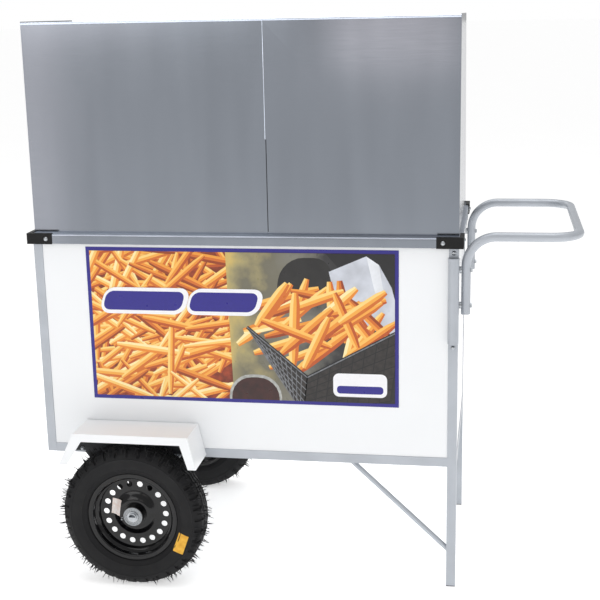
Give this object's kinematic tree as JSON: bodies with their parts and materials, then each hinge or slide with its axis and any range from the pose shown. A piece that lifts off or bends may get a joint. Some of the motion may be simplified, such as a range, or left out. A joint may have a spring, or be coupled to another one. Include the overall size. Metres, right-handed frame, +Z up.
{
  "type": "push vending cart",
  "caption": "Frying cart with a tube frame, white panels, stainless worktop and windbreak, outboard pneumatic wheels, legs and a push handle.",
  "frame": {"origin": "on the ground, in the middle of the cart's outer box", "axes": "+Z up, -Y towards the customers, +X towards the push handle"},
  "size_m": [1.3078, 0.732, 1.352],
  "materials": {
    "frame_paint": "silver-grey gloss powder coat",
    "panel_paint": "white gloss powder coat",
    "sign_print": "printed sheet, satin",
    "black_plastic": "moulded, fine grain",
    "zinc_steel": "zinc plated",
    "bearing_steel": "polished",
    "stainless_sheet": "brushed sheet",
    "basket_mesh": "plated wire mesh",
    "bracket_steel": "dark grey paint",
    "burner_iron": "as cast",
    "gas_brass": "machined",
    "tyre_rubber": "moulded rubber",
    "tube_rubber": "smooth",
    "rim_paint": "black gloss paint"
  },
  "bodies": {
    "cart": {"post_front_left": "frame_paint", "post_rear_left": "frame_paint", "leg_front_right": "frame_paint", "leg_rear_right": "frame_paint", "bottom_rails": "frame_paint", "top_rails": "frame_paint", "door_post": "frame_paint", "leg_braces": "frame_paint", "leg_plugs": "black_plastic", "front_panel": "panel_paint", "left_panel": "panel_paint", "right_panel": "panel_paint", "rear_panel": "panel_paint", "floor_panel": "panel_paint", "sign_plate": "sign_print", "hinge_leaves_frame": "zinc_steel", "door_catch": "black_plastic", "worktop": "stainless_sheet", "corner_guards": "black_plastic", "dome_bolts": "zinc_steel", "front_wall_left": "stainless_sheet", "front_wall_right": "stainless_sheet", "side_wall_left": "stainless_sheet", "side_wall_right": "stainless_sheet", "wall_rivets": "zinc_steel", "push_handle": "frame_paint", "handle_bolts": "zinc_steel", "pole_holder": "frame_paint", "fender_front": "panel_paint", "fender_rear": "panel_paint", "axle_bracket_front": "bracket_steel", "axle_bracket_rear": "bracket_steel", "axle": "zinc_steel", "axle_spacers": "zinc_steel", "axle_rings": "zinc_steel", "fryer_well": "stainless_sheet", "burner": "burner_iron", "burner_hangers": "bracket_steel", "gas_line": "gas_brass"},
    "wheel_front": {"tyre_front": "tyre_rubber", "tube_front": "tube_rubber", "rim_front": "rim_paint", "hub_front": "zinc_steel", "bearings_front": "bearing_steel", "valve_front": "tube_rubber"},
    "wheel_rear": {"tyre_rear": "tyre_rubber", "tube_rear": "tube_rubber", "rim_rear": "rim_paint", "hub_rear": "zinc_steel", "bearings_rear": "bearing_steel", "valve_rear": "tube_rubber"},
    "door": {"rear_door": "panel_paint", "door_pull": "black_plastic", "hinge_leaves_door": "zinc_steel"},
    "knob": {"valve_knob": "black_plastic"},
    "basket": {"fry_basket": "basket_mesh", "basket_frame": "zinc_steel", "basket_grip": "black_plastic"},
    "tray": {"drain_tray": "stainless_sheet"},
    "rack": {"drain_rack": "zinc_steel"}
  },
  "joints": [
    {"name": "wheel_front_spin", "type": "hinge", "parent": "cart", "child": "wheel_front", "pos_m": [-0.40485, -0.311, 0.1765], "axis": [0, 1, 0], "continuous": true},
    {"name": "wheel_rear_spin", "type": "hinge", "parent": "cart", "child": "wheel_rear", "pos_m": [-0.40485, 0.311, 0.1765], "axis": [0, 1, 0], "continuous": true},
    {"name": "door_hinge", "type": "hinge", "parent": "cart", "child": "door", "pos_m": [0.34765, 0.2648, 0.583], "axis": [0, 0, -1], "range_deg": [0, 170]},
    {"name": "valve_turn", "type": "hinge", "parent": "cart", "child": "knob", "pos_m": [-0.39585, 0.26, 0.789], "axis": [0, -1, 0], "range_deg": [0, 90]},
    {"name": "basket_lift", "type": "slide", "parent": "cart", "child": "basket", "axis": [0, 0, 1], "range_m": [0, 0.24]},
    {"name": "tray_lift", "type": "slide", "parent": "cart", "child": "tray", "axis": [0, 0, 1], "range_m": [0, 0.12]},
    {"name": "rack_lift", "type": "slide", "parent": "tray", "child": "rack", "axis": [0, 0, 1], "range_m": [0, 0.12]}
  ]
}
